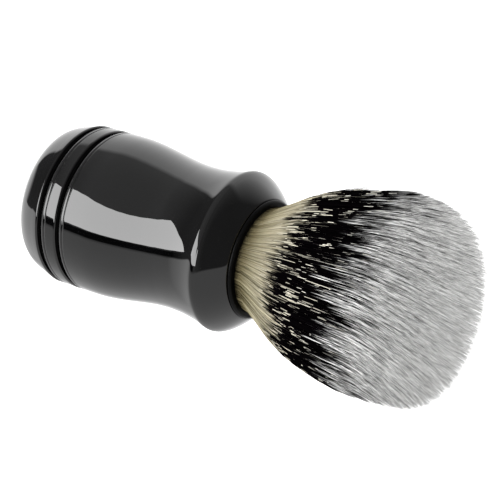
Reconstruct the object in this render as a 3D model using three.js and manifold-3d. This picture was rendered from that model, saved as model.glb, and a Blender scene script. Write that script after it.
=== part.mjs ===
// Shaving brush, standing upright on its foot: a stacked black resin handle with a
// ballast slug clamped inside it, and a 22 mm knot of dyed synthetic fibres glued in its socket.
// Millimetres, +Z up along the brush's axis, origin at the centre of the foot.

import * as THREE from 'three';
import { mergeVertices } from 'three/addons/utils/BufferGeometryUtils.js';
import Module from 'manifold-3d';

// ---- driving dimensions -------------------------------------------------------------------

const HANDLE_RADIUS = 17.75;      // widest turned radius, at the base band
const WAIST_RADIUS = 15.67;
const SWELL_RADIUS = 16.12;      // where the hollow of the waist turns out into the collar
const COLLAR_RADIUS = 17.36;      // the swelling under the knot
const SHOULDER_RIM_RADIUS = 12.8; // where the shoulder's curve meets its flat top
const FOOT_RADIUS = 9.4;          // flat part of the base

const CAP_BOTTOM_Z = 0.4;         // the foot pad stands this far proud of the base cap
const LOWER_GROOVE_Z = 9.1;
const UPPER_GROOVE_Z = 13.9;
const GROOVE_WIDTH = 1.05;
const GROOVE_DEPTH = 1.25;
const BARREL_TOP_Z = 18.5;        // the barrel is straight up to here
const WAIST_Z = 37.3;
const SWELL_Z = 43.0;
const COLLAR_Z = 48.5;
const SHOULDER_Z = 54.4;          // top of the handle, where the ferrule's flange sits

const MOUTH_Z = 55.25;            // top of the ferrule, where the fibres come out
const MOUTH_RADIUS = 10.95;
const FERRULE_RADIUS = 11.5;      // outside of the sleeve that goes into the handle
const FLANGE_RADIUS = 12.7;       // outside of the ring seen on the shoulder
const FERRULE_BOTTOM_Z = 41.0;

const KNOT_RADIUS = 21.7;         // widest radius of the fanned fibres
const KNOT_WIDEST_Z = 83.2;
const TIP_Z = 100.0;

const SPIGOT_RADIUS = 9.9;        // the base cap's spigot, which carries the rings
const SPIGOT_TOP_Z = 19.8;
const BALLAST_RADIUS = 9.8;
const BALLAST_TOP_Z = 34.6;
const BALLAST_ROOF_Z = 35.0;
const SOCKET_RADIUS = 11.7;
const SOCKET_FLOOR_Z = 39.5;
const VENT_RADIUS = 2.5;          // lets air and spare glue out of the knot socket

const SCREW_RADIUS = 1.95;
const SCREW_HEAD_RADIUS = 3.5;
const SCREW_HOLE_RADIUS = 2.3;

const REST_GAP = 0.1;             // between turned faces that rest on each other
const SLIDE_GAP = 0.3;            // between pieces that slide into each other
const EDGE = 0.3;                 // small turned edge break

const OUTER_SIDES = 72;
const INNER_SIDES = 48;
const SMALL_SIDES = 24;

// ---- materials ----------------------------------------------------------------------------

function material(color, roughness, metalness = 0) {
  return new THREE.MeshStandardMaterial({ color, roughness, metalness });
}

const glossBlack = material(0x0b0b0c, 0.08);
const dullBlack = material(0x050505, 0.85);
const ferruleBlack = material(0x0c0c0d, 0.35);
const steel = material(0x9a9c9f, 0.35, 1);
const padRubber = material(0x1a1a1a, 0.8);
const epoxy = material(0xb9a56a, 0.3);
const thread = material(0xd8d2c0, 0.9);
const creamFibre = material(0xc9c09c, 0.6);
const greyFibre = material(0xc8c8c6, 0.6);

// ---- helpers ------------------------------------------------------------------------------

const point = (radius, z) => new THREE.Vector2(radius, z);

// Points along a cubic curve between two [radius, z] ends, without its first point.
function curve(from, fromControl, toControl, to, steps) {
  const bezier = new THREE.CubicBezierCurve(
    point(...from), point(...fromControl), point(...toControl), point(...to));
  return bezier.getPoints(steps).slice(1);
}

// A curve that runs along the axis at both ends. Each share is how much of the height its
// end keeps straight.
function ease(from, to, fromShare, toShare, steps) {
  const height = to[1] - from[1];
  return curve(
    from, [from[0], from[1] + fromShare * height],
    [to[0], to[1] - toShare * height], to, steps);
}

// A solid of revolution about Z from a [radius, z] outline, listed counter-clockwise as seen
// with radius to the right and Z up. An outline off the axis is closed on itself.
function turned(outline, sides) {
  const points = outline.map((p) => (p.isVector2 ? p : point(...p)));
  const onAxis = points[0].x === 0 && points[points.length - 1].x === 0;
  if (!onAxis) points.push(points[0].clone());
  const geometry = new THREE.LatheGeometry(points, sides);
  geometry.rotateX(Math.PI / 2);
  return geometry;
}

// A plain ring or sleeve of rectangular section.
function sleeve(innerRadius, outerRadius, bottomZ, topZ, sides) {
  return turned([
    [innerRadius, bottomZ],
    [outerRadius, bottomZ],
    [outerRadius, topZ],
    [innerRadius, topZ],
  ], sides);
}

const brush = new THREE.Group();

function add(name, geometry, finish) {
  const mesh = new THREE.Mesh(geometry, finish);
  mesh.name = name;
  brush.add(mesh);
}

// ---- boolean cuts -------------------------------------------------------------------------

const wasm = await Module();
wasm.setup();

function toManifold(geometry) {
  const bare = geometry.clone();
  bare.deleteAttribute('normal');
  bare.deleteAttribute('uv');
  const merged = mergeVertices(bare, 1e-4);
  return new wasm.Manifold(new wasm.Mesh({
    numProp: 3,
    vertProperties: new Float32Array(merged.attributes.position.array),
    triVerts: new Uint32Array(merged.index.array),
  }));
}

function fromManifold(solid) {
  const mesh = solid.getMesh();
  const geometry = new THREE.BufferGeometry();
  geometry.setAttribute('position', new THREE.BufferAttribute(mesh.vertProperties, 3));
  geometry.setIndex(new THREE.BufferAttribute(mesh.triVerts, 1));
  geometry.computeVertexNormals();
  return geometry;
}

// ---- handle stack -------------------------------------------------------------------------

const LIP_HEIGHT = 0.95;          // from the top of a groove to the fine line turned above it
const LINE_WIDTH = 0.24;
const LINE_DEPTH = 0.18;
const STACK_BORE = SPIGOT_RADIUS + SLIDE_GAP;
const PAD_RECESS_RADIUS = 8.9;
const PAD_RECESS_Z = 1.9;
const COUNTERBORE_RADIUS = 4.6;
const COUNTERBORE_Z = 6.0;

// Domed foot with a recess for the pad, a counterbore for the screw, and the spigot on top.
function baseCap() {
  const foot = [FOOT_RADIUS, CAP_BOTTOM_Z];
  const rim = [HANDLE_RADIUS, LOWER_GROOVE_Z - EDGE];
  const footPull = [FOOT_RADIUS + 7.0, CAP_BOTTOM_Z + 2.6];
  const rimPull = [HANDLE_RADIUS - 1.95, CAP_BOTTOM_Z + 1.4];
  return turned([
    [SCREW_HOLE_RADIUS, COUNTERBORE_Z],
    [COUNTERBORE_RADIUS, COUNTERBORE_Z],
    [COUNTERBORE_RADIUS, PAD_RECESS_Z],
    [PAD_RECESS_RADIUS, PAD_RECESS_Z],
    [PAD_RECESS_RADIUS, CAP_BOTTOM_Z],
    foot,
    ...curve(foot, footPull, rimPull, rim, 14),
    [HANDLE_RADIUS - EDGE, LOWER_GROOVE_Z],
    [SPIGOT_RADIUS, LOWER_GROOVE_Z],
    [SPIGOT_RADIUS, SPIGOT_TOP_Z],
    [SCREW_HOLE_RADIUS, SPIGOT_TOP_Z],
  ], OUTER_SIDES);
}

// Thin dull washer that makes the floor of a groove.
function grooveGasket(grooveZ) {
  return sleeve(
    STACK_BORE, HANDLE_RADIUS - GROOVE_DEPTH,
    grooveZ + REST_GAP, grooveZ + GROOVE_WIDTH - REST_GAP, INNER_SIDES);
}

// Underside, lip and fine turned line of a piece that stands on a groove.
function lip(bottomZ) {
  const lineZ = bottomZ + LIP_HEIGHT;
  return [
    [STACK_BORE, bottomZ],
    [HANDLE_RADIUS - EDGE, bottomZ],
    [HANDLE_RADIUS, bottomZ + EDGE],
    [HANDLE_RADIUS, lineZ - LINE_WIDTH / 2],
    [HANDLE_RADIUS - LINE_DEPTH, lineZ],
    [HANDLE_RADIUS, lineZ + LINE_WIDTH / 2],
  ];
}

// Polished band between the two grooves.
function trimRing() {
  return turned([
    ...lip(LOWER_GROOVE_Z + GROOVE_WIDTH),
    [HANDLE_RADIUS, UPPER_GROOVE_Z - EDGE],
    [HANDLE_RADIUS - EDGE, UPPER_GROOVE_Z],
    [STACK_BORE, UPPER_GROOVE_Z],
  ], OUTER_SIDES);
}

// Outline from the waist out to the collar: a long shallow hollow, then a quick swelling.
function waistToCollar(waist, collar) {
  const swell = [SWELL_RADIUS, SWELL_Z];
  const slope = Math.tan(THREE.MathUtils.degToRad(9.5));
  const alongSwell = (height) => [SWELL_RADIUS + slope * height, SWELL_Z + height];
  return [
    ...curve(waist, [waist[0], waist[1] + 2.0], alongSwell(-1.5), swell, 4),
    ...curve(swell, alongSwell(3.9), [collar[0], collar[1] - 0.6], collar, 7),
  ];
}

// Barrel, waist and collar, with the ballast bore below and the knot socket above.
function handleBody() {
  const barrel = [HANDLE_RADIUS, BARREL_TOP_Z];
  const waist = [WAIST_RADIUS, WAIST_Z];
  const collar = [COLLAR_RADIUS, COLLAR_Z];
  const shoulder = [SHOULDER_RIM_RADIUS, SHOULDER_Z];
  const collarPull = [COLLAR_RADIUS, COLLAR_Z + 1.3];
  const shoulderPull = [SHOULDER_RIM_RADIUS + 1.7, SHOULDER_Z - 1.45];
  return turned([
    ...lip(UPPER_GROOVE_Z + GROOVE_WIDTH),
    barrel,
    ...ease(barrel, waist, 0.35, 0.35, 7),
    ...waistToCollar(waist, collar),
    ...curve(collar, collarPull, shoulderPull, shoulder, 11),
    [SOCKET_RADIUS, SHOULDER_Z],
    [SOCKET_RADIUS, SOCKET_FLOOR_Z],
    [VENT_RADIUS, SOCKET_FLOOR_Z],
    [VENT_RADIUS, BALLAST_ROOF_Z],
    [STACK_BORE, BALLAST_ROOF_Z],
  ], OUTER_SIDES);
}

// Steel weight, with a blind hole for the screw's thread.
function ballastSlug() {
  const bottom = SPIGOT_TOP_Z + SLIDE_GAP;
  const holeTop = 30.0;
  return turned([
    [0, holeTop],
    [SCREW_HOLE_RADIUS, holeTop],
    [SCREW_HOLE_RADIUS, bottom],
    [BALLAST_RADIUS - EDGE, bottom],
    [BALLAST_RADIUS, bottom + EDGE],
    [BALLAST_RADIUS, BALLAST_TOP_Z - EDGE],
    [BALLAST_RADIUS - EDGE, BALLAST_TOP_Z],
    [0, BALLAST_TOP_Z],
  ], INNER_SIDES);
}

const SCREW_HEAD_BOTTOM_Z = 2.4;
const SCREW_HEAD_TOP_Z = 5.0;
const SCREW_END_Z = 27.0;
const KEY_RADIUS = 1.73;          // a 3 mm hexagon, to its corners
const KEY_DEPTH = 1.6;

// Socket-head screw that clamps the stack to the ballast.
function stackScrew() {
  const blank = turned([
    [0, SCREW_HEAD_BOTTOM_Z],
    [SCREW_HEAD_RADIUS - EDGE, SCREW_HEAD_BOTTOM_Z],
    [SCREW_HEAD_RADIUS, SCREW_HEAD_BOTTOM_Z + EDGE],
    [SCREW_HEAD_RADIUS, SCREW_HEAD_TOP_Z],
    [SCREW_RADIUS, SCREW_HEAD_TOP_Z],
    [SCREW_RADIUS, SCREW_END_Z - EDGE],
    [SCREW_RADIUS - EDGE, SCREW_END_Z],
    [0, SCREW_END_Z],
  ], SMALL_SIDES);
  const hexagon = new THREE.CylinderGeometry(KEY_RADIUS, KEY_RADIUS, 2 * KEY_DEPTH, 6);
  hexagon.rotateX(Math.PI / 2);
  hexagon.translate(0, 0, SCREW_HEAD_BOTTOM_Z);
  return fromManifold(toManifold(blank).subtract(toManifold(hexagon)));
}

// Flat washer between the screw's head and the counterbore's ceiling.
function screwWasher() {
  const thickness = 0.7;
  const bottom = SCREW_HEAD_TOP_Z + REST_GAP;
  return sleeve(SCREW_HOLE_RADIUS, COUNTERBORE_RADIUS - 0.4, bottom, bottom + thickness, SMALL_SIDES);
}

// Rubber disc that covers the screw and that the brush stands on.
function footPad() {
  const radius = PAD_RECESS_RADIUS - SLIDE_GAP;
  const top = PAD_RECESS_Z - 2 * REST_GAP;
  return turned([
    [0, 0],
    [radius - EDGE, 0],
    [radius, EDGE],
    [radius, top],
    [0, top],
  ], INNER_SIDES);
}

add('base_cap', baseCap(), glossBlack);
add('lower_groove_gasket', grooveGasket(LOWER_GROOVE_Z), dullBlack);
add('trim_ring', trimRing(), glossBlack);
add('upper_groove_gasket', grooveGasket(UPPER_GROOVE_Z), dullBlack);
add('handle_body', handleBody(), glossBlack);
add('ballast_slug', ballastSlug(), steel);
add('stack_screw', stackScrew(), steel);
add('screw_washer', screwWasher(), steel);
add('foot_pad', footPad(), padRubber);

// ---- knot ---------------------------------------------------------------------------------

const ROOT_RADIUS = 10.6;
const PLUG_BOTTOM_Z = FERRULE_BOTTOM_Z + 0.4;
const PLUG_TOP_Z = 44.2;
const BINDING_BOTTOM_Z = 46.5;
const BINDING_TURNS = 4;
const THREAD_DIAMETER = 0.8;
const BINDING_TOP_Z = BINDING_BOTTOM_Z + BINDING_TURNS * THREAD_DIAMETER;

// Black sleeve round the fibre roots; its flange is the ring on the handle's shoulder.
function knotFerrule() {
  const flangeBottom = SHOULDER_Z + REST_GAP;
  const round = 0.4;
  return turned([
    [MOUTH_RADIUS, FERRULE_BOTTOM_Z],
    [FERRULE_RADIUS, FERRULE_BOTTOM_Z],
    [FERRULE_RADIUS, flangeBottom],
    [FLANGE_RADIUS, flangeBottom],
    [FLANGE_RADIUS, MOUTH_Z - round],
    [FLANGE_RADIUS - round, MOUTH_Z],
    [MOUTH_RADIUS, MOUTH_Z],
  ], OUTER_SIDES);
}

// Ring of epoxy on the socket's floor, under the ferrule.
function socketAdhesive() {
  return sleeve(
    VENT_RADIUS + SLIDE_GAP, SOCKET_RADIUS - REST_GAP,
    SOCKET_FLOOR_Z + REST_GAP, FERRULE_BOTTOM_Z - REST_GAP, INNER_SIDES);
}

// Epoxy cast through the butt ends of the fibres.
function rootPlug() {
  return turned([
    [0, PLUG_BOTTOM_Z],
    [ROOT_RADIUS, PLUG_BOTTOM_Z],
    [ROOT_RADIUS, PLUG_TOP_Z],
    [0, PLUG_TOP_Z],
  ], INNER_SIDES);
}

// Turns of thread wound side by side, joined along their inner face.
function bindingThread() {
  const innerRadius = ROOT_RADIUS - THREAD_DIAMETER;
  const valley = ROOT_RADIUS - 0.3;
  const shoulder = 0.08;
  const outline = [[innerRadius, BINDING_BOTTOM_Z]];
  for (let turn = 0; turn < BINDING_TURNS; turn += 1) {
    const bottom = BINDING_BOTTOM_Z + turn * THREAD_DIAMETER;
    outline.push([valley, bottom + shoulder]);
    outline.push([ROOT_RADIUS, bottom + THREAD_DIAMETER / 2]);
    outline.push([valley, bottom + THREAD_DIAMETER - shoulder]);
  }
  outline.push([innerRadius, BINDING_TOP_Z]);
  return turned(outline, INNER_SIDES);
}

// The part of the fibre bundle held inside the ferrule, drawn in where the thread ties it.
function fibreRoots() {
  const bottom = PLUG_TOP_Z + REST_GAP;
  const top = MOUTH_Z - SLIDE_GAP;
  const tiedRadius = ROOT_RADIUS - THREAD_DIAMETER - REST_GAP;
  return turned([
    [0, bottom],
    [ROOT_RADIUS, bottom],
    [ROOT_RADIUS, BINDING_BOTTOM_Z - SLIDE_GAP],
    [tiedRadius, BINDING_BOTTOM_Z - REST_GAP],
    [tiedRadius, BINDING_TOP_Z + REST_GAP],
    [ROOT_RADIUS, BINDING_TOP_Z + SLIDE_GAP],
    [ROOT_RADIUS, top],
    [0, top],
  ], INNER_SIDES);
}

add('knot_ferrule', knotFerrule(), ferruleBlack);
add('socket_adhesive', socketAdhesive(), epoxy);
add('root_plug', rootPlug(), epoxy);
add('binding_thread', bindingThread(), thread);
add('fibre_roots', fibreRoots(), creamFibre);

// ---- free fibres --------------------------------------------------------------------------

// The fibres bend in the neck, so the crown leans about the mouth. A cone parts the two,
// steeper than the crown leans, so that the crown's rim clears the ferrule.
const CONE_SLOPE = Math.tan(THREE.MathUtils.degToRad(33));
const NECK_CONE_Z = 56.5;
const CROWN_CONE_Z = NECK_CONE_Z + SLIDE_GAP * Math.hypot(1, CONE_SLOPE);

// Side of the fan from the mouth to the widest ring.
const fanSide = new THREE.CubicBezierCurve(
  point(MOUTH_RADIUS - REST_GAP, MOUTH_Z - REST_GAP),
  point(MOUTH_RADIUS + 3.4, MOUTH_Z + 6.2),
  point(KNOT_RADIUS - 5.2, MOUTH_Z + 3.6),
  point(KNOT_RADIUS, KNOT_WIDEST_Z));

// The fan curve's parameter where it meets the cone that stands at coneZ on the axis.
function coneCrossing(coneZ) {
  let low = 0;
  let high = 1;
  for (let halving = 0; halving < 40; halving += 1) {
    const middle = (low + high) / 2;
    const p = fanSide.getPoint(middle);
    if (p.y < coneZ + CONE_SLOPE * p.x) low = middle;
    else high = middle;
  }
  return low;
}

// Points on the fan's side between two curve parameters.
function fanPoints(from, to, steps) {
  return Array.from({ length: steps + 1 }, (_, i) => fanSide.getPoint(from + (to - from) * i / steps));
}

// The stretch of fibres that does the bending: from the mouth up to a hollow cone.
function bristleNeck() {
  return turned([
    [0, MOUTH_Z - REST_GAP],
    ...fanPoints(0, coneCrossing(NECK_CONE_Z), 5),
    [0, NECK_CONE_Z],
  ], INNER_SIDES);
}

// The free ends of the fibres, standing on a cone and closed by the dome of the tips.
function bristleCrown() {
  const widest = [KNOT_RADIUS, KNOT_WIDEST_Z];
  const widestPull = [KNOT_RADIUS, KNOT_WIDEST_Z + 12.0];
  const tipPull = [KNOT_RADIUS, TIP_Z];
  return turned([
    [0, CROWN_CONE_Z],
    ...fanPoints(coneCrossing(CROWN_CONE_Z), 1, 5),
    ...curve(widest, widestPull, tipPull, [0, TIP_Z], 9),
  ], INNER_SIDES);
}

add('bristle_neck', bristleNeck(), creamFibre);
add('bristle_crown', bristleCrown(), greyFibre);

export default brush;
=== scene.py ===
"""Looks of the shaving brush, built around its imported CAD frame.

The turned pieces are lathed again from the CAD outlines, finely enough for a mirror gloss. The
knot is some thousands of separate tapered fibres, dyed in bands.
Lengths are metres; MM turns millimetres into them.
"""

import math

import bpy
import numpy as np
from mathutils import Matrix, Vector
from mathutils.kdtree import KDTree


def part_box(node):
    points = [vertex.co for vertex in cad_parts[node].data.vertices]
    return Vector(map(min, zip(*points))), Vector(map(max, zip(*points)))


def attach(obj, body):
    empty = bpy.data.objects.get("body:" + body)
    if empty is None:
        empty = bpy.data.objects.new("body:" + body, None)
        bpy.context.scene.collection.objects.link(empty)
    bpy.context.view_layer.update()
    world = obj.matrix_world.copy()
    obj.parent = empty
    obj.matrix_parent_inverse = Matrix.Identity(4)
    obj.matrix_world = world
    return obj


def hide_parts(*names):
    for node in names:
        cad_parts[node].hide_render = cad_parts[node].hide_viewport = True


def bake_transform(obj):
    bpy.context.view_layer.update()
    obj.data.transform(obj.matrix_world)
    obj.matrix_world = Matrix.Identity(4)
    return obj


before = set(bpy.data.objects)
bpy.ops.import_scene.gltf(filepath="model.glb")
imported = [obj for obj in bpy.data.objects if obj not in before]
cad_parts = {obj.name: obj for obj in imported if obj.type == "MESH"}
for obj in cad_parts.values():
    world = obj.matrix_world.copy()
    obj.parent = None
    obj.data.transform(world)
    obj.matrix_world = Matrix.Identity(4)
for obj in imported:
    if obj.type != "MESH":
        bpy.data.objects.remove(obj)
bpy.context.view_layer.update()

MM = 0.001

# ---- driving values -------------------------------------------------------------------------

LATHE_SIDES = 256
OUTLINE_STEP = 0.3 * MM         # spacing of the points on a smoothed outline
CORNER_ANGLE = 24.0             # degrees; an outline that turns more than this has a real edge
EDGE_ROUND = 0.2 * MM           # how far back from such an edge its polished round starts

FIBRES = 15000
FIBRE_RADIUS = 0.075 * MM
TIP_RADIUS = 0.045 * MM
TAPER_START = 0.7               # share of a fibre's length at which it starts to thin
FIBRE_RINGS = 9                 # cross sections of one fibre, the pointed tip not counted
FIBRE_SIDES = 3
ROOT_DEPTH = 3.0 * MM           # how far below the mouth the modelled fibres start
FAN_SLOPE = math.tan(math.radians(13.5))   # the outermost fibres still lean out this much
NECK_IN = 0.8 * MM              # how far the fibres are held in a little above the mouth
NECK_IN_Z = 61.0 * MM
NECK_IN_REACH = 4.5 * MM
PLACE_UNEVEN = 0.006            # how far a fibre strays from an even spacing, in knot radii
OUTERMOST = 0.998               # no fibre stands further out than this, in knot radii
TUFTS = 350                     # fibres dyed alike
CLUMPS = 4000                   # a few fibres that cling together
CLUMPS_TURN = 1.0               # radians that the clumps' spiral is turned from the fibres'
CLUMP_PULL = 0.15               # how far the tips close up on their clump's middle
CLUMP_SWAY = 0.20 * MM          # how far a clump's tips stray sideways together
FIBRE_SWAY = 0.25 * MM          # how far a fibre's tip strays on its own
RIPPLE = 0.10 * MM              # how far a fibre waves from side to side
RIPPLE_PHASE = 9.0              # radians of that wave between the mouth and the top
TRIM_UNEVEN = 0.011             # spread of the fibres' ends, as a share of their length
MOST_TRIMMED = 0.08             # the most that a very few fibres end below that, as a share
SHORT_SHARE = 0.07              # fibres that end early
SHORTEST = 0.5                  # the most that one of those is shortened, as a share
STRAY_SHARE = 0.06              # fibres that stand out from the rest
WIDEST_SPLAY = 0.07             # the most that one of those stands out, as a share of its radius
PROUD_SHARE = 0.25              # fibres that end a little late
MOST_PROUD = 0.014              # the most that one of those is lengthened, as a share
TIP_OVERLAP = 1.7 * MM          # how far the thin tips pass the dome that they fill
TRIMMED_FROM_Z = 70.0 * MM      # no fibre is trimmed to the dome below this
PRESSED_SIDE = 0.085            # the +X side of the dome stands in by this share of its radius
PRESSED_Z = 93.0 * MM
PRESSED_REACH = 12.0 * MM       # how far above and below that it fades out
LEAN = 2.0 * MM                 # how far the tips lean to +X, at LEAN_END_Z
LEAN_START_Z = 86.0 * MM
LEAN_END_Z = 100.0 * MM
CREAM_END_Z = 66.4 * MM         # where the dye starts
DYE_END_Z = 82.4 * MM           # where the dye ends
DYE_BOW = 2.6 * MM              # the dye ends this much higher towards -Y and +Y
DYE_INSIDE = 7.0 * MM           # the dye ends this much lower in the middle of the knot
STREAK_SHARE = 0.5              # fibres whose dye runs on past its end, in a streak
STREAK_LENGTH = 6.0 * MM        # how far it runs on, on average
LONGEST_STREAK = 16.0 * MM
DYE_TOP = 4.0 * MM              # the dye coordinate would reach 1 this far above the knot's top
DYE_UNEVEN = 1.0 * MM           # how unevenly a tuft's dye, and a fibre's, starts and ends
CLUMP_DYE_SHIFT = (0.8 * MM, 2.8 * MM)   # how unevenly a clump's dye starts and ends
CREAM_V = 0.33                  # where the dye starts on the fibres' own dye coordinate
DYE_V = 0.66                    # where the dye ends on it

FLECK_GRAIN = (1.2 * CLUMPS, 15.0, 0.0)    # grain of the spots that the dye missed, in U and V
DASH_GRAIN = (2.3 * CLUMPS, 34.0, 0.0)     # grain of the short dark dashes in the grey

CAMERA_ELEVATION = math.radians(29.4)
CAMERA_ROLL = math.radians(107.2)
CAMERA_DISTANCE = 393.6 * MM
CAMERA_AIM = Vector((-1.12, 0.0, 51.18)) * MM
CAMERA_LENS = 136.4

rng = np.random.default_rng(22)

# ---- node helpers ---------------------------------------------------------------------------


class Nodes:
    """A material's node tree with short calls for the nodes used here."""

    def __init__(self, name):
        self.material = bpy.data.materials.new(name)
        self.material.use_nodes = True
        self.tree = self.material.node_tree
        self.shader = self.tree.nodes["Principled BSDF"]

    def link(self, source, target):
        self.tree.links.new(source, target)

    def position(self):
        return self.tree.nodes.new("ShaderNodeNewGeometry").outputs["Position"]

    def scaled(self, vector, scale):
        """The vector, scaled differently along X, Y and Z."""
        node = self.tree.nodes.new("ShaderNodeVectorMath")
        node.operation = "MULTIPLY"
        node.inputs[1].default_value = scale
        self.link(vector, node.inputs[0])
        return node.outputs[0]

    def stretched(self, scale):
        return self.scaled(self.position(), scale)

    def noise(self, vector, scale, detail=3.0, roughness=0.55, dimensions="3D"):
        node = self.tree.nodes.new("ShaderNodeTexNoise")
        node.noise_dimensions = dimensions
        node.inputs["Scale"].default_value = scale
        node.inputs["Detail"].default_value = detail
        node.inputs["Roughness"].default_value = roughness
        socket = node.inputs["W" if dimensions == "1D" else "Vector"]
        self.link(vector, socket)
        return node.outputs["Fac"]

    def spread(self, value, low, high, from_low=0.3, from_high=0.7):
        node = self.tree.nodes.new("ShaderNodeMapRange")
        node.inputs["From Min"].default_value = from_low
        node.inputs["From Max"].default_value = from_high
        node.inputs["To Min"].default_value = low
        node.inputs["To Max"].default_value = high
        self.link(value, node.inputs["Value"])
        return node.outputs["Result"]

    def ramp(self, value, stops, interpolation="LINEAR"):
        node = self.tree.nodes.new("ShaderNodeValToRGB")
        node.color_ramp.interpolation = interpolation
        elements = node.color_ramp.elements
        while len(elements) < len(stops):
            elements.new(1.0)
        for element, (place, color) in zip(elements, stops):
            element.position = place
            element.color = (*color, 1.0)
        self.link(value, node.inputs["Fac"])
        return node.outputs["Color"]

    def mix(self, factor, first, second, blend="MIX"):
        node = self.tree.nodes.new("ShaderNodeMix")
        node.data_type = "RGBA"
        node.blend_type = blend
        sockets = (node.inputs[0], node.inputs[6], node.inputs[7])
        for socket, value in zip(sockets, (factor, first, second)):
            if isinstance(value, bpy.types.NodeSocket):
                self.link(value, socket)
            else:
                socket.default_value = value
        return node.outputs[2]

    def math(self, operation, first, second):
        node = self.tree.nodes.new("ShaderNodeMath")
        node.operation = operation
        for socket, value in zip(node.inputs, (first, second)):
            if isinstance(value, bpy.types.NodeSocket):
                self.link(value, socket)
            else:
                socket.default_value = value
        return node.outputs[0]

    def bump(self, height, strength, distance):
        node = self.tree.nodes.new("ShaderNodeBump")
        node.inputs["Strength"].default_value = strength
        node.inputs["Distance"].default_value = distance
        self.link(height, node.inputs["Height"])
        self.link(node.outputs["Normal"], self.shader.inputs["Normal"])

    def set(self, **values):
        for name, value in values.items():
            self.shader.inputs[name.replace("_", " ")].default_value = value


def grained(name, dark, light, scale, rough, stretch=(1, 1, 1), bump=0.0, metallic=0.0, detail=4.0):
    """A material whose colour, roughness and relief vary with one grain, rough = (least, most)."""
    n = Nodes(name)
    grain = n.noise(n.stretched(stretch), scale, detail)
    n.link(n.ramp(grain, [(0.3, dark), (0.7, light)]), n.shader.inputs["Base Color"])
    n.link(n.spread(grain, *rough), n.shader.inputs["Roughness"])
    n.set(Metallic=metallic)
    if bump:
        n.bump(grain, bump, 0.05 * MM)
    return n.material


def gloss_resin():
    """Polished black casting resin: deep black, faint swirl marks from buffing, slight haze."""
    n = Nodes("gloss_resin")
    cloud = n.noise(n.position(), 90.0, 2.0)
    swirl = n.noise(n.stretched((1, 1, 9)), 900.0, 4.0)
    n.link(n.ramp(cloud, [(0.3, (0.0003, 0.0003, 0.0003)), (0.7, (0.0009, 0.0009, 0.001))]),
           n.shader.inputs["Base Color"])
    n.link(n.spread(swirl, 0.008, 0.025), n.shader.inputs["Roughness"])
    n.set(IOR=1.5)
    return n.material


def fibre_material():
    """Dyed fibres, painted darker near the mouth as shade. Their own UV map says which fibre it is (U)
    and how far along the dye (V).
    """
    n = Nodes("dyed_fibre")
    uv = n.tree.nodes.new("ShaderNodeUVMap")
    uv.uv_map = "OFBake"
    split = n.tree.nodes.new("ShaderNodeSeparateXYZ")
    n.link(uv.outputs["UV"], split.inputs[0])
    which, along = split.outputs[0], split.outputs[1]
    tone = n.noise(which, 6.0 * CLUMPS, 2.0, dimensions="1D")
    # painted shade: the fibres darken towards the mouth, where the ferrule ring shades their roots
    root = [
        (0.06, (0.020, 0.017, 0.008)),
        (0.11, (0.13, 0.11, 0.06)),
        (0.19, (0.27, 0.243, 0.16)),
    ]
    dyed = n.ramp(along, root + [
        (0.30, (0.335, 0.305, 0.22)),
        (0.345, (0.0012, 0.0008, 0.0012)),
        (0.64, (0.0012, 0.0008, 0.0012)),
        (0.70, (0.82, 0.82, 0.81)),
        (1.00, (0.80, 0.80, 0.79)),
    ])
    pale = n.ramp(along, root + [
        (0.45, (0.62, 0.59, 0.49)),
        (0.75, (0.82, 0.82, 0.80)),
        (1.00, (0.80, 0.80, 0.79)),
    ])
    fleck = n.noise(n.scaled(uv.outputs["UV"], FLECK_GRAIN), 1.0, 0.0)
    reach = n.spread(along, 0.60, 0.77, 0.34, 0.64)
    missed = n.math("GREATER_THAN", fleck, reach)
    color = n.mix(missed, dyed, pale)
    shade = n.ramp(tone, [(0.36, (0.34, 0.34, 0.34)), (0.56, (1.0, 1.0, 1.0))])
    strength = n.spread(along, 0.7, 1.0, CREAM_V, 0.5)
    color = n.mix(strength, color, shade, "MULTIPLY")
    dashes = n.noise(n.scaled(uv.outputs["UV"], DASH_GRAIN), 1.0, 0.0)
    streaks = n.ramp(dashes, [(0.34, (0.42, 0.42, 0.42)), (0.50, (1.0, 1.0, 1.0))])
    color = n.mix(n.spread(along, 0.0, 1.0, 0.45, DYE_V), color, streaks, "MULTIPLY")
    n.link(color, n.shader.inputs["Base Color"])
    n.link(n.spread(tone, 0.6, 0.8), n.shader.inputs["Roughness"])
    n.shader.inputs["Specular IOR Level"].default_value = 0.02
    n.shader.inputs["IOR"].default_value = 1.2
    return n.material


# ---- turned pieces --------------------------------------------------------------------------


def section(node, split_radius):
    """The CAD node's outline as (outer run upwards, inner run downwards), from its vertices."""
    co = np.array([v.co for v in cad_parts[node].data.vertices])
    radius = np.hypot(co[:, 0], co[:, 1])
    points = sorted({(round(float(z), 6), round(float(r), 6)) for r, z in zip(radius, co[:, 2])})
    outer = [(r, z) for z, r in points if r >= split_radius]
    inner = [(r, z) for z, r in points if r < split_radius]
    return ordered(outer), ordered(inner[::-1])


def ordered(points):
    """Points sorted by height, those at the same height starting nearest to the one before."""
    run = []
    for level in dict.fromkeys(z for _, z in points):
        same = [p for p in points if p[1] == level]
        last = run[-1][0] if run else same[0][0]
        run += sorted(same, key=lambda p: abs(p[0] - last))
    return run


def turn_angle(before, here, after):
    a = here - before
    b = after - here
    return abs(math.degrees(math.atan2(a[0] * b[1] - a[1] * b[0], a @ b)))


def rounded_corner(before, here, after):
    """The points of a small round that takes the place of a sharp corner."""
    start = here + (before - here) * min(0.45, EDGE_ROUND / np.linalg.norm(before - here))
    end = here + (after - here) * min(0.45, EDGE_ROUND / np.linalg.norm(after - here))
    return [(1 - t) ** 2 * start + 2 * t * (1 - t) * here + t ** 2 * end for t in np.linspace(0, 1, 6)]


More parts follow.
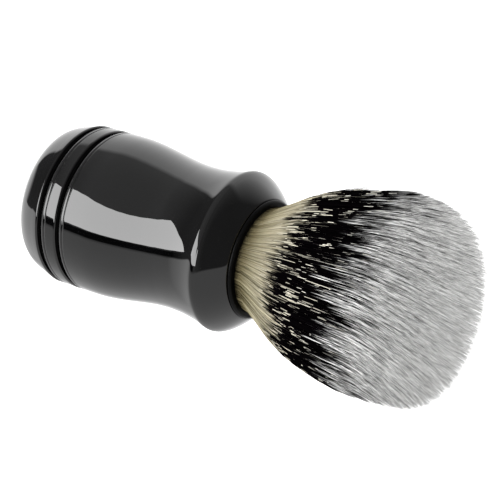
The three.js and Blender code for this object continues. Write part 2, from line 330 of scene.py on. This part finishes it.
def spline(points):
    """A centripetal curve through the points, sampled every OUTLINE_STEP."""
    p = np.array(points)
    if len(p) < 3 or np.ptp(p[:, 0]) < 1e-6:
        return list(p)
    ends = [2 * p[0] - p[1], *p, 2 * p[-1] - p[-2]]
    samples = [p[0]]
    for a, b, c, d in zip(ends, ends[1:], ends[2:], ends[3:]):
        knots = np.cumsum([0.0] + [np.linalg.norm(y - x) ** 0.5 for x, y in ((a, b), (b, c), (c, d))])
        steps = max(2, math.ceil(np.linalg.norm(c - b) / OUTLINE_STEP))
        for t in np.linspace(knots[1], knots[2], steps + 1)[1:]:
            samples.append(catmull((a, b, c, d), knots, t))
    return samples


def catmull(p, k, t):
    low = [((k[i + 1] - t) * p[i] + (t - k[i]) * p[i + 1]) / (k[i + 1] - k[i]) for i in range(3)]
    mid = [((k[i + 2] - t) * low[i] + (t - k[i]) * low[i + 1]) / (k[i + 2] - k[i]) for i in range(2)]
    return ((k[2] - t) * mid[0] + (t - k[1]) * mid[1]) / (k[2] - k[1])


def polished(loop):
    """The closed outline with its smooth stretches refined and its corners rounded."""
    p = [np.array(q) for q in loop]
    count = len(p)
    sharp = [turn_angle(p[i - 1], p[i], p[(i + 1) % count]) > CORNER_ANGLE for i in range(count)]
    first = sharp.index(True)
    result = []
    run = []
    for i in range(first, first + count):
        here = p[i % count]
        if not sharp[i % count]:
            run.append(here)
            continue
        corner = [here]
        if here[0] > 1e-6:
            corner = rounded_corner(p[(i - 1) % count], here, p[(i + 1) % count])
        if result:
            result += spline([result[-1], *run, corner[0]])[1:]
            corner = corner[1:]
        result += corner
        run = []
    if run:
        result += spline([result[-1], *run, result[0]])[1:-1]
    return result


def lathe(name, loop, material, sides=LATHE_SIDES):
    """A closed solid of revolution about Z from a closed [radius, height] outline."""
    angles = np.arange(sides) * 2 * math.pi / sides
    rings = []
    vertices = []
    for radius, height in loop:
        if radius < 1e-6:
            rings.append([len(vertices)] * sides)
            vertices.append((0.0, 0.0, height))
            continue
        rings.append(list(range(len(vertices), len(vertices) + sides)))
        vertices += [(radius * math.cos(a), radius * math.sin(a), height) for a in angles]
    faces = []
    for low, high in zip(rings, rings[1:] + rings[:1]):
        if low[0] == low[1] and high[0] == high[1]:
            continue
        for i in range(sides):
            j = (i + 1) % sides
            face = [low[i], low[j], high[j], high[i]]
            faces.append(list(dict.fromkeys(face)))
    return mesh_piece(name, vertices, faces, material)


def mesh_piece(name, vertices, faces, material):
    mesh = bpy.data.meshes.new(name)
    mesh.from_pydata([tuple(v) for v in vertices], [], faces)
    mesh.materials.append(material)
    mesh.polygons.foreach_set("use_smooth", [True] * len(mesh.polygons))
    piece = bpy.data.objects.new(name, mesh)
    bpy.context.scene.collection.objects.link(piece)
    return piece


def turned_piece(name, node, split_radius, material):
    """A fine lathed copy of a CAD node, which it replaces."""
    outer, inner = section(node, split_radius)
    piece = lathe(name, polished(outer + inner), material)
    piece.data.set_sharp_from_angle(angle=math.radians(28))
    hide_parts(node)
    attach(piece, "handle")
    return piece


resin = gloss_resin()
gasket = grained("groove_rubber", (0.0012, 0.0012, 0.0012), (0.003, 0.003, 0.003), 2500, (0.8, 0.95),
                 bump=0.3)
ferrule_plastic = grained("ferrule_plastic", (0.001, 0.001, 0.001), (0.002, 0.002, 0.002), 1500,
                          (0.30, 0.42), stretch=(1, 1, 6), bump=0.15)
ferrule_plastic.node_tree.nodes["Principled BSDF"].inputs["Specular IOR Level"].default_value = 0.05
pad_rubber = grained("pad_rubber", (0.010, 0.010, 0.010), (0.022, 0.022, 0.021), 1800, (0.7, 0.9),
                     bump=0.5)

turned_piece("polished_base_cap", "base_cap", 9.55 * MM, resin)
turned_piece("polished_trim_ring", "trim_ring", 12 * MM, resin)
turned_piece("polished_handle", "handle_body", 12.1 * MM, resin)
turned_piece("lower_groove_floor", "lower_groove_gasket", 12 * MM, gasket)
turned_piece("upper_groove_floor", "upper_groove_gasket", 12 * MM, gasket)
turned_piece("ferrule_ring", "knot_ferrule", 11.2 * MM, ferrule_plastic)
turned_piece("soft_foot_pad", "foot_pad", 8.2 * MM, pad_rubber)

steel = grained("turned_steel", (0.42, 0.43, 0.44), (0.60, 0.61, 0.62), 1400, (0.25, 0.42),
                stretch=(1, 1, 12), bump=0.15, metallic=1.0)
epoxy = grained("cured_epoxy", (0.40, 0.31, 0.12), (0.52, 0.43, 0.18), 300, (0.15, 0.35), bump=0.1)
thread = grained("waxed_thread", (0.56, 0.52, 0.42), (0.74, 0.70, 0.58), 2600, (0.75, 0.95),
                 stretch=(1, 1, 3), bump=0.5)
root_fibre = grained("glued_fibre", (0.40, 0.34, 0.20), (0.58, 0.51, 0.33), 3500, (0.5, 0.7),
                     stretch=(1, 1, 0.05), bump=0.5)

for node, material in {
    "ballast_slug": steel,
    "stack_screw": steel,
    "screw_washer": steel,
    "socket_adhesive": epoxy,
    "root_plug": epoxy,
    "binding_thread": thread,
    "fibre_roots": root_fibre,
}.items():
    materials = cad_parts[node].data.materials
    materials.clear()
    materials.append(material)

# ---- fibres ---------------------------------------------------------------------------------

_, ferrule_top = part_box("knot_ferrule")
_, crown_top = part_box("bristle_crown")
MOUTH_Z = ferrule_top.z
KNOT_RADIUS = crown_top.x
TIP_Z = crown_top.z
WIDEST_Z = max(
    v.co.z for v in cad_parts["bristle_crown"].data.vertices
    if math.hypot(v.co.x, v.co.y) > KNOT_RADIUS * 0.999)


def knot_outline():
    """(radius, height) of the knot's outside from the mouth to the top, from its CAD solids."""
    sides = {}
    for node in ("bristle_neck", "bristle_crown"):
        co = np.array([v.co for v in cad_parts[node].data.vertices])
        radius = np.hypot(co[:, 0], co[:, 1])
        for r, z in zip(radius, co[:, 2]):
            key = round(float(z), 5)
            sides[key] = max(sides.get(key, 0.0), float(r))
    heights = sorted(sides)
    points = [np.array((sides[z], z)) for z in heights]
    outside = [points[0]]
    for here in points[1:]:
        if here[0] >= outside[-1][0] - 4 * MM or here[1] > WIDEST_Z:
            outside.append(here)
    return np.array(spline(outside))


def fan_radius(outline, heights):
    """How far the outermost fibres stand from the axis, if none were trimmed to the dome."""
    side = outline[: int(np.argmax(outline[:, 0])) + 1]
    slope = np.gradient(side[:, 0], side[:, 1])
    steep = np.nonzero(slope > FAN_SLOPE)[0][-1]
    joined_z, joined_r = side[steep, 1], side[steep, 0]
    inside = np.interp(heights, side[: steep + 1, 1], side[: steep + 1, 0])
    beyond = joined_r + (heights - joined_z) * FAN_SLOPE
    held_in = NECK_IN * np.exp(-((heights - NECK_IN_Z) / NECK_IN_REACH) ** 2)
    return np.where(heights > joined_z, beyond, inside) - held_in


def sunflower(count, turn=0.0):
    """Evenly packed points in the unit disc, as (x, y), the whole disc turned by an angle."""
    index = np.arange(count)
    radius = np.sqrt((index + 0.5) / count)
    angle = index * math.pi * (3 - math.sqrt(5)) + turn
    return radius * np.cos(angle), radius * np.sin(angle)


def fibre_places(count):
    """Where the fibres stand in the unit disc, slightly unevenly, as (radius, angle)."""
    x, y = sunflower(count)
    x = x + rng.normal(0, PLACE_UNEVEN, count)
    y = y + rng.normal(0, PLACE_UNEVEN, count)
    return np.minimum(np.hypot(x, y), OUTERMOST), np.arctan2(y, x)


def clump_places(count):
    """Middles of evenly spread clumps in the unit disc."""
    return np.stack(sunflower(count, CLUMPS_TURN), 1)


def tip_heights(outline, share):
    """Where fibres that keep to these shares of the fan's radius meet the dome."""
    heights = np.linspace(MOUTH_Z, TIP_Z, 600)
    fan = fan_radius(outline, heights)
    outside = np.interp(heights, outline[:, 1], outline[:, 0])
    beyond = (share[:, None] * fan[None, :] > outside[None, :]) & (heights > TRIMMED_FROM_Z)[None, :]
    first = np.where(beyond.any(1), beyond.argmax(1), len(heights) - 1)
    return heights[first]


def fibre_paths(outline, share, angle, clump):
    """Centre lines of the fibres as [fibre, ring, xyz]."""
    count = len(share)
    tips = tip_heights(outline, share)
    trim = np.abs(rng.normal(0, TRIM_UNEVEN, count)) + rng.random(count) ** 12 * MOST_TRIMMED
    short = rng.random(count) < SHORT_SHARE
    trim += short * rng.uniform(0.0, SHORTEST, count)
    stray = short | (rng.random(count) < STRAY_SHARE)
    splay = stray * rng.uniform(0.0, WIDEST_SPLAY, count)
    proud = (rng.random(count) < PROUD_SHARE) * rng.uniform(0.0, MOST_PROUD, count)
    root = MOUTH_Z - ROOT_DEPTH
    ends = root + (tips - root) * (1 - trim + proud) + TIP_OVERLAP
    steps = np.linspace(0, 1, FIBRE_RINGS + 1) ** 0.9
    z = root + (ends - root)[:, None] * steps[None, :]
    fan = fan_radius(outline, z)
    middle = clump_places(CLUMPS)[clump]
    pull = CLUMP_PULL * np.clip((z - MOUTH_Z) / (TIP_Z - MOUTH_Z), 0, 1) ** 1.2
    own = np.stack([share * np.cos(angle), share * np.sin(angle)], 1)
    place = own[:, None, :] + (middle - own)[:, None, :] * pull[:, :, None]
    place *= 1 + (splay[:, None] * steps[None, :] ** 2)[:, :, None]
    path = np.concatenate([place * fan[:, :, None], z[:, :, None]], 2)
    return swayed(path, clump)


def swayed(path, clump):
    """The same centre lines with the unevenness of loose hair, and the dome's own lopsidedness."""
    count = len(path)
    z = path[:, :, 2]
    rise = np.clip((z - MOUTH_Z) / (TIP_Z - MOUTH_Z), 0, 1)
    sway = rng.normal(0, CLUMP_SWAY, (CLUMPS, 2))[clump] + rng.normal(0, FIBRE_SWAY, (count, 2))
    path[:, :, :2] += sway[:, None, :] * (rise ** 1.5)[:, :, None]
    wave = rng.uniform(0, 2 * math.pi, (count, 2))
    ripple = np.sin(rise[:, :, None] * RIPPLE_PHASE + wave[:, None, :]) * RIPPLE
    path[:, :, :2] += ripple * rise[:, :, None]
    x = path[:, :, 0]
    pressed = PRESSED_SIDE * np.exp(-((z - PRESSED_Z) / PRESSED_REACH) ** 2)
    leaning = LEAN * np.clip((z - LEAN_START_Z) / (LEAN_END_Z - LEAN_START_Z), 0, 1.3) ** 1.5
    path[:, :, 0] = x - pressed * np.maximum(x, 0) + leaning
    return path


def dye_along(z, share, angle, tuft, clump):
    """How far along the dye each point of a fibre is, 0 at the root and 1 at the tip."""
    count = len(z)
    root = MOUTH_Z - ROOT_DEPTH
    shift = rng.normal(0, DYE_UNEVEN, (TUFTS, 2))[tuft] + rng.normal(0, DYE_UNEVEN, (count, 2))
    shift += rng.normal(0, 1.0, (CLUMPS, 2))[clump] * CLUMP_DYE_SHIFT
    streak = rng.exponential(STREAK_LENGTH, count) * (rng.random(count) < STREAK_SHARE)
    bow = DYE_BOW * np.abs(share * np.sin(angle)) - DYE_INSIDE * (1 - share)
    cream_end = (CREAM_END_Z + shift[:, 0])[:, None]
    dye_end = (DYE_END_Z + bow + shift[:, 1] + np.minimum(streak, LONGEST_STREAK))[:, None]
    v_low = CREAM_V * (z - root) / (cream_end - root)
    v_mid = CREAM_V + (DYE_V - CREAM_V) * (z - cream_end) / (dye_end - cream_end)
    v_top = DYE_V + (1 - DYE_V) * (z - dye_end) / (TIP_Z + DYE_TOP - dye_end)
    along = np.where(z < cream_end, v_low, np.where(z < dye_end, v_mid, v_top))
    return np.clip(along, 0.0, 1.0)


def fibre_piece(name, path, along, which, material):
    """One mesh of closed, tapered fibres with FIBRE_SIDES sides."""
    count, rings = path.shape[0], path.shape[1] - 1
    taper = np.linspace(0, 1, rings + 1)[:-1]
    thinned = np.clip((taper - TAPER_START) / (1 - TAPER_START), 0, 1) ** 2
    radius = TIP_RADIUS + (FIBRE_RADIUS - TIP_RADIUS) * (1 - thinned)
    turn = rng.uniform(0, 2 * math.pi, count)
    corner = turn[:, None] + np.arange(FIBRE_SIDES)[None, :] * 2 * math.pi / FIBRE_SIDES
    around = np.stack([np.cos(corner), np.sin(corner), np.zeros_like(corner)], 2)
    tube = path[:, :-1, None, :] + around[:, None, :, :] * radius[None, :, None, None]
    per_fibre = rings * FIBRE_SIDES + 1
    vertices = np.concatenate([tube.reshape(count, -1, 3), path[:, -1:, :]], 1).reshape(-1, 3)
    v_value = np.concatenate([np.repeat(along[:, :-1], FIBRE_SIDES, 1), along[:, -1:]], 1).reshape(-1)

    faces = [list(range(FIBRE_SIDES))[::-1]]
    for ring in range(rings - 1):
        for side in range(FIBRE_SIDES):
            a = ring * FIBRE_SIDES + side
            b = ring * FIBRE_SIDES + (side + 1) % FIBRE_SIDES
            faces.append([a, b, b + FIBRE_SIDES, a + FIBRE_SIDES])
    last = (rings - 1) * FIBRE_SIDES
    for side in range(FIBRE_SIDES):
        faces.append([last + side, last + (side + 1) % FIBRE_SIDES, per_fibre - 1])
    sizes = np.tile([len(f) for f in faces], count)
    one = np.concatenate(faces)
    corners = (one[None, :] + (np.arange(count) * per_fibre)[:, None]).reshape(-1)

    mesh = bpy.data.meshes.new(name)
    mesh.vertices.add(len(vertices))
    mesh.vertices.foreach_set("co", vertices.reshape(-1).astype(np.float32))
    mesh.loops.add(len(corners))
    mesh.loops.foreach_set("vertex_index", corners.astype(np.int32))
    mesh.polygons.add(len(sizes))
    starts = np.concatenate([[0], np.cumsum(sizes)[:-1]])
    mesh.polygons.foreach_set("loop_start", starts.astype(np.int32))
    mesh.polygons.foreach_set("loop_total", sizes.astype(np.int32))
    mesh.update(calc_edges=True)
    mesh.polygons.foreach_set("use_smooth", np.ones(len(sizes), bool))
    layer = mesh.uv_layers.new(name="OFBake")
    u_value = np.repeat(which, len(one))
    layer.data.foreach_set("uv", np.stack([u_value, v_value[corners]], 1).reshape(-1).astype(np.float32))
    mesh.materials.append(material)
    piece = bpy.data.objects.new(name, mesh)
    bpy.context.scene.collection.objects.link(piece)
    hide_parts("bristle_neck", "bristle_crown")
    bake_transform(piece)
    return piece


def nearest_clump(share, angle, count):
    """For each fibre, the number of the clump that it is in."""
    tree = KDTree(count)
    for number, (x, y) in enumerate(clump_places(count)):
        tree.insert((x, y, 0), number)
    tree.balance()
    return np.array([
        tree.find((r * math.cos(a), r * math.sin(a), 0))[1] for r, a in zip(share, angle)])


def build_knot():
    outline = knot_outline()
    share, angle = fibre_places(FIBRES)
    clump = nearest_clump(share, angle, CLUMPS)
    tuft = nearest_clump(share, angle, TUFTS)
    path = fibre_paths(outline, share, angle, clump)
    along = dye_along(path[:, :, 2], share, angle, tuft, clump)
    which = (clump + rng.uniform(0.0, 0.6, FIBRES)) / CLUMPS
    material = fibre_material()
    layers = ("core", "inner", "middle", "outer")
    for layer, part in zip(layers, np.array_split(np.argsort(share), len(layers))):
        fibre_piece(f"bristles_{layer}", path[part], along[part], which[part], material)


build_knot()

# ---- stage, light and camera ----------------------------------------------------------------


def floor():
    size = 3.0
    half = size / 2
    n = Nodes("pale_floor")
    n.link(n.ramp(n.noise(n.position(), 3.0), [(0.3, (0.88, 0.88, 0.88)), (0.7, (0.9, 0.9, 0.9))]),
           n.shader.inputs["Base Color"])
    n.set(Roughness=0.9)
    n.shader.inputs["Emission Color"].default_value = (1, 1, 1, 1)
    n.shader.inputs["Emission Strength"].default_value = 0.86
    corners = [(-half, -half, 0), (half, -half, 0), (half, half, 0), (-half, half, 0)]
    plane = mesh_piece("pale_floor", corners, [[0, 1, 2, 3]], n.material)
    plane.location.z = -0.05 * MM
    plane.visible_glossy = False
    plane.visible_shadow = False


def area_light(name, centre, facing, across, width, height, radiance):
    """A rectangular soft light that faces against the vector facing."""
    data = bpy.data.lights.new(name, "AREA")
    data.shape = "RECTANGLE"
    data.size = width
    data.size_y = height
    data.energy = radiance * math.pi * width * height
    light = bpy.data.objects.new(name, data)
    z = Vector(facing).normalized()
    x = Vector(across)
    x = (x - z * x.dot(z)).normalized()
    y = z.cross(x)
    light.matrix_world = Matrix((
        (x.x, y.x, z.x, centre[0]),
        (x.y, y.y, z.y, centre[1]),
        (x.z, y.z, z.z, centre[2]),
        (0, 0, 0, 1)))
    light.visible_camera = False
    bpy.context.scene.collection.objects.link(light)
    return light


# The plain studio that the polish reflects: a dark front where the photographer stands, a pale
# wall on each side, and a bright sweep under the brush. Directions are degrees round from the
# front towards +X, and heights are the direction's Z, from -1 straight down to 1 straight up.
# An edge is a pair of them: where the change starts and where it is complete.
FRONT_LEVEL = 0.6
FRONT_LOW_LEVEL = 0.2
LEFT_AND_BACK_LEVEL = 1.7
RIGHT_LEVEL = 1.1
CEILING_LEVEL = 0.2
SWEEP_LEVEL = 3.0
LEFT_WALL_EDGE = (-84.0, -92.0)
RIGHT_WALL_EDGE = (43.0, 46.0)
BACK_WALL_EDGE = (135.0, 165.0)
FLAG_SIDES = (33.0, 43.0)       # a black flag beside the soft box
FLAG_BOTTOM = (-0.85, -0.75)
FLAG_TOP = (0.2, 0.1)
FRONT_LOW_EDGE = (-0.5, -0.8)
CEILING_EDGE = (0.1, 0.6)
SIDE_SWEEP_EDGE = (-0.7, -0.95)
FRONT_SWEEP_EDGE = (-0.95, -0.98)


class StudioWorld:
    """White for the camera; for every other ray, the walls, ceiling and sweep of the studio."""

    def __init__(self):
        world = bpy.data.worlds.new("studio")
        bpy.context.scene.world = world
        world.use_nodes = True
        self.tree = world.node_tree
        self.background = self.tree.nodes["Background"]
        self.split = self.tree.nodes.new("ShaderNodeSeparateXYZ")
        coordinate = self.tree.nodes.new("ShaderNodeTexCoord")
        self.fill_in(self.split.inputs[0], coordinate.outputs["Generated"])

    def fill_in(self, socket, value):
        if isinstance(value, bpy.types.NodeSocket):
            self.tree.links.new(value, socket)
        else:
            socket.default_value = value

    def math(self, operation, first, second):
        node = self.tree.nodes.new("ShaderNodeMath")
        node.operation = operation
        self.fill_in(node.inputs[0], first)
        self.fill_in(node.inputs[1], second)
        return node.outputs[0]

    def share(self, value, low, high):
        """0 where the value is low, 1 where it is high, straight in between."""
        node = self.tree.nodes.new("ShaderNodeMapRange")
        node.inputs["From Min"].default_value = low
        node.inputs["From Max"].default_value = high
        self.fill_in(node.inputs["Value"], value)
        return node.outputs["Result"]

    def towards(self, level, target, share):
        """The level where share is 0, the target where it is 1."""
        node = self.tree.nodes.new("ShaderNodeMix")
        self.fill_in(node.inputs[0], share)
        self.fill_in(node.inputs[2], level)
        self.fill_in(node.inputs[3], target)
        return node.outputs[0]

    def build(self):
        x, y, z = self.split.outputs
        turn = self.math("ARCTAN2", x, self.math("MULTIPLY", y, -1.0))
        turn = self.math("MULTIPLY", turn, math.degrees(1))
        left = self.share(turn, *LEFT_WALL_EDGE)
        back = self.share(turn, *BACK_WALL_EDGE)
        beside = self.math("MAXIMUM", left, back)
        right = self.math("SUBTRACT", self.share(turn, *RIGHT_WALL_EDGE), back)
        flag_start, flag_end = FLAG_SIDES
        flag = self.math("MULTIPLY", self.share(turn, flag_start, flag_start + 1),
                         self.share(turn, flag_end, flag_end - 1))
        flag = self.math("MULTIPLY", flag, self.share(z, *FLAG_BOTTOM))
        flag = self.math("MULTIPLY", flag, self.share(z, *FLAG_TOP))
        level = self.towards(FRONT_LEVEL, FRONT_LOW_LEVEL, self.share(z, *FRONT_LOW_EDGE))
        level = self.towards(level, 0.0, flag)
        level = self.towards(level, LEFT_AND_BACK_LEVEL, beside)
        level = self.towards(level, CEILING_LEVEL, self.share(z, *CEILING_EDGE))
        level = self.towards(level, RIGHT_LEVEL, right)
        sides = self.math("MAXIMUM", beside, right)
        sweep = self.math("MULTIPLY", sides, self.share(z, *SIDE_SWEEP_EDGE))
        sweep = self.math("MAXIMUM", sweep, self.share(z, *FRONT_SWEEP_EDGE))
        level = self.towards(level, SWEEP_LEVEL, sweep)
        path = self.tree.nodes.new("ShaderNodeLightPath")
        level = self.towards(level, 1.0, path.outputs["Is Camera Ray"])
        self.fill_in(self.background.inputs["Color"], level)


def photo_camera():
    data = bpy.data.cameras.new("camera")
    data.lens = CAMERA_LENS
    data.sensor_width = 36.0
    data.clip_start = 0.01
    data.clip_end = 20.0
    camera = bpy.data.objects.new("camera", data)
    e = CAMERA_ELEVATION
    forward = Vector((0, math.cos(e), -math.sin(e)))
    level_right = Vector((1, 0, 0))
    level_up = Vector((0, math.sin(e), math.cos(e)))
    right = math.cos(CAMERA_ROLL) * level_right + math.sin(CAMERA_ROLL) * level_up
    up = -math.sin(CAMERA_ROLL) * level_right + math.cos(CAMERA_ROLL) * level_up
    eye = CAMERA_AIM - forward * CAMERA_DISTANCE
    camera.matrix_world = Matrix((
        (right.x, up.x, -forward.x, eye.x),
        (right.y, up.y, -forward.y, eye.y),
        (right.z, up.z, -forward.z, eye.z),
        (0, 0, 0, 1)))
    bpy.context.scene.collection.objects.link(camera)
    bpy.context.scene.camera = camera


floor()
StudioWorld().build()
area_light(
    "softbox", centre=(0.061, -0.266, -0.018), facing=(0.52, -0.66, -0.54),
    across=(0.785, 0.62, 0.0), width=0.18, height=0.36, radiance=9.4)
fill = area_light(
    "overhead_fill", centre=(-0.30, -0.42, 0.72), facing=(-0.30, -0.42, 0.62),
    across=(1, 0, 0), width=0.7, height=0.7, radiance=3.8)
fill.visible_glossy = False
top_fill = area_light(
    "top_fill", centre=(0.0, -0.05, 0.8), facing=(0, 0, 1),
    across=(1, 0, 0), width=0.6, height=0.6, radiance=2.0)
top_fill.visible_glossy = False
photo_camera()
bpy.context.scene.view_settings.view_transform = "Standard"
